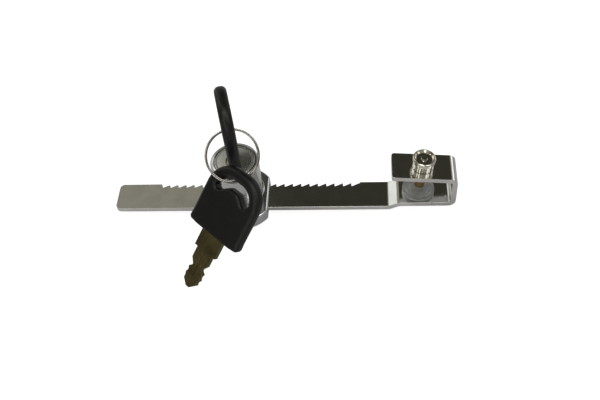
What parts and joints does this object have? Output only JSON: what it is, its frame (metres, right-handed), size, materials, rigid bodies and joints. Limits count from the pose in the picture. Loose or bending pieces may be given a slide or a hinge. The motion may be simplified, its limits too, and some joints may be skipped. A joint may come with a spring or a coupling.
{
  "type": "ratchet vivarium lock",
  "caption": "Ratchet bar lock for sliding glass doors: toothed strip with a screw clamp end, a keyed cylinder lock that slides along it, and a spare key on a split ring.",
  "frame": {"origin": "centre of the clamp's seat on the lower leg, straight below the clamp screw", "axes": "+Z out of the seat towards the clamp screw, -X along the ratchet bar to its free end, +Y towards the toothed edge"},
  "size_m": [0.1427, 0.0606, 0.06],
  "materials": {
    "plated_steel_strip": "bright plated",
    "clear_plastic": "translucent",
    "brass_screw": "satin",
    "nickel_head": "nickel plated",
    "plated_zinc": "bright plated",
    "cover_steel": "satin",
    "screw_steel": "satin",
    "spring_steel": "drawn",
    "hard_steel": "satin",
    "plug_metal": "satin plated",
    "wafer_brass": "satin",
    "key_metal": "nickel plated, worn",
    "bow_plastic": "satin",
    "ring_steel": "polished"
  },
  "bodies": {
    "bar": {"ratchet_bar": "plated_steel_strip"},
    "clamp_pad": {"screw_pad": "clear_plastic"},
    "clamp_screw": {"screw_shank": "brass_screw", "thumb_screw_head": "nickel_head"},
    "lock": {"lock_housing": "plated_zinc", "back_cover": "cover_steel", "cover_screws": "screw_steel", "pawl_spring": "spring_steel"},
    "pawl": {"pawl": "hard_steel"},
    "plug": {"lock_plug": "plug_metal", "drive_cam": "hard_steel", "wafer_1": "wafer_brass", "wafer_2": "wafer_brass", "wafer_3": "wafer_brass", "wafer_4": "wafer_brass", "plug_retainer": "wafer_brass"},
    "lock_key": {"key_1_blade": "key_metal", "key_1_bow": "bow_plastic"},
    "ring": {"split_ring": "ring_steel"},
    "loose_key": {"key_2_blade": "key_metal", "key_2_bow": "bow_plastic"}
  },
  "joints": [
    {"name": "clamp_travel", "type": "slide", "parent": "bar", "child": "clamp_pad", "axis": [0.0802, 0, 0.9968], "range_m": [0, 0.0084]},
    {"name": "screw_turn", "type": "hinge", "parent": "clamp_pad", "child": "clamp_screw", "pos_m": [0, 0, 0], "axis": [0.0802, 0, 0.9968], "range_deg": [0, 4320.1]},
    {"name": "lock_slide", "type": "slide", "parent": "bar", "child": "lock", "axis": [-1, 0, 0], "range_m": [-0.04984, 0.02848]},
    {"name": "key_turn", "type": "hinge", "parent": "lock", "child": "plug", "pos_m": [-0.0748, 0.0023, 0], "axis": [0, 0, 1], "range_deg": [0, 90]},
    {"name": "pawl_slide", "type": "slide", "parent": "lock", "child": "pawl", "axis": [0, -1, 0], "range_m": [0, 0.00212]},
    {"name": "key_pull", "type": "slide", "parent": "plug", "child": "lock_key", "axis": [0, 0, 1], "range_m": [0, 0.018]},
    {"name": "ring_swing", "type": "hinge", "parent": "lock_key", "child": "ring", "pos_m": [-0.07307, -0.00464, 0.04366], "axis": [-0.952, -0.2921, 0.0909], "range_deg": [0, 90]},
    {"name": "loose_key_swing", "type": "hinge", "parent": "ring", "child": "loose_key", "pos_m": [-0.07273, -0.01855, 0.0295], "axis": [-0.9563, -0.1193, 0.2669], "range_deg": [-5, 26]}
  ],
  "couplings": [
    {"joint": "screw_turn", "follows": "clamp_travel", "rad_per_m": 8976},
    {"joint": "pawl_slide", "follows": "key_turn", "m_per_rad": 0.0013505}
  ]
}
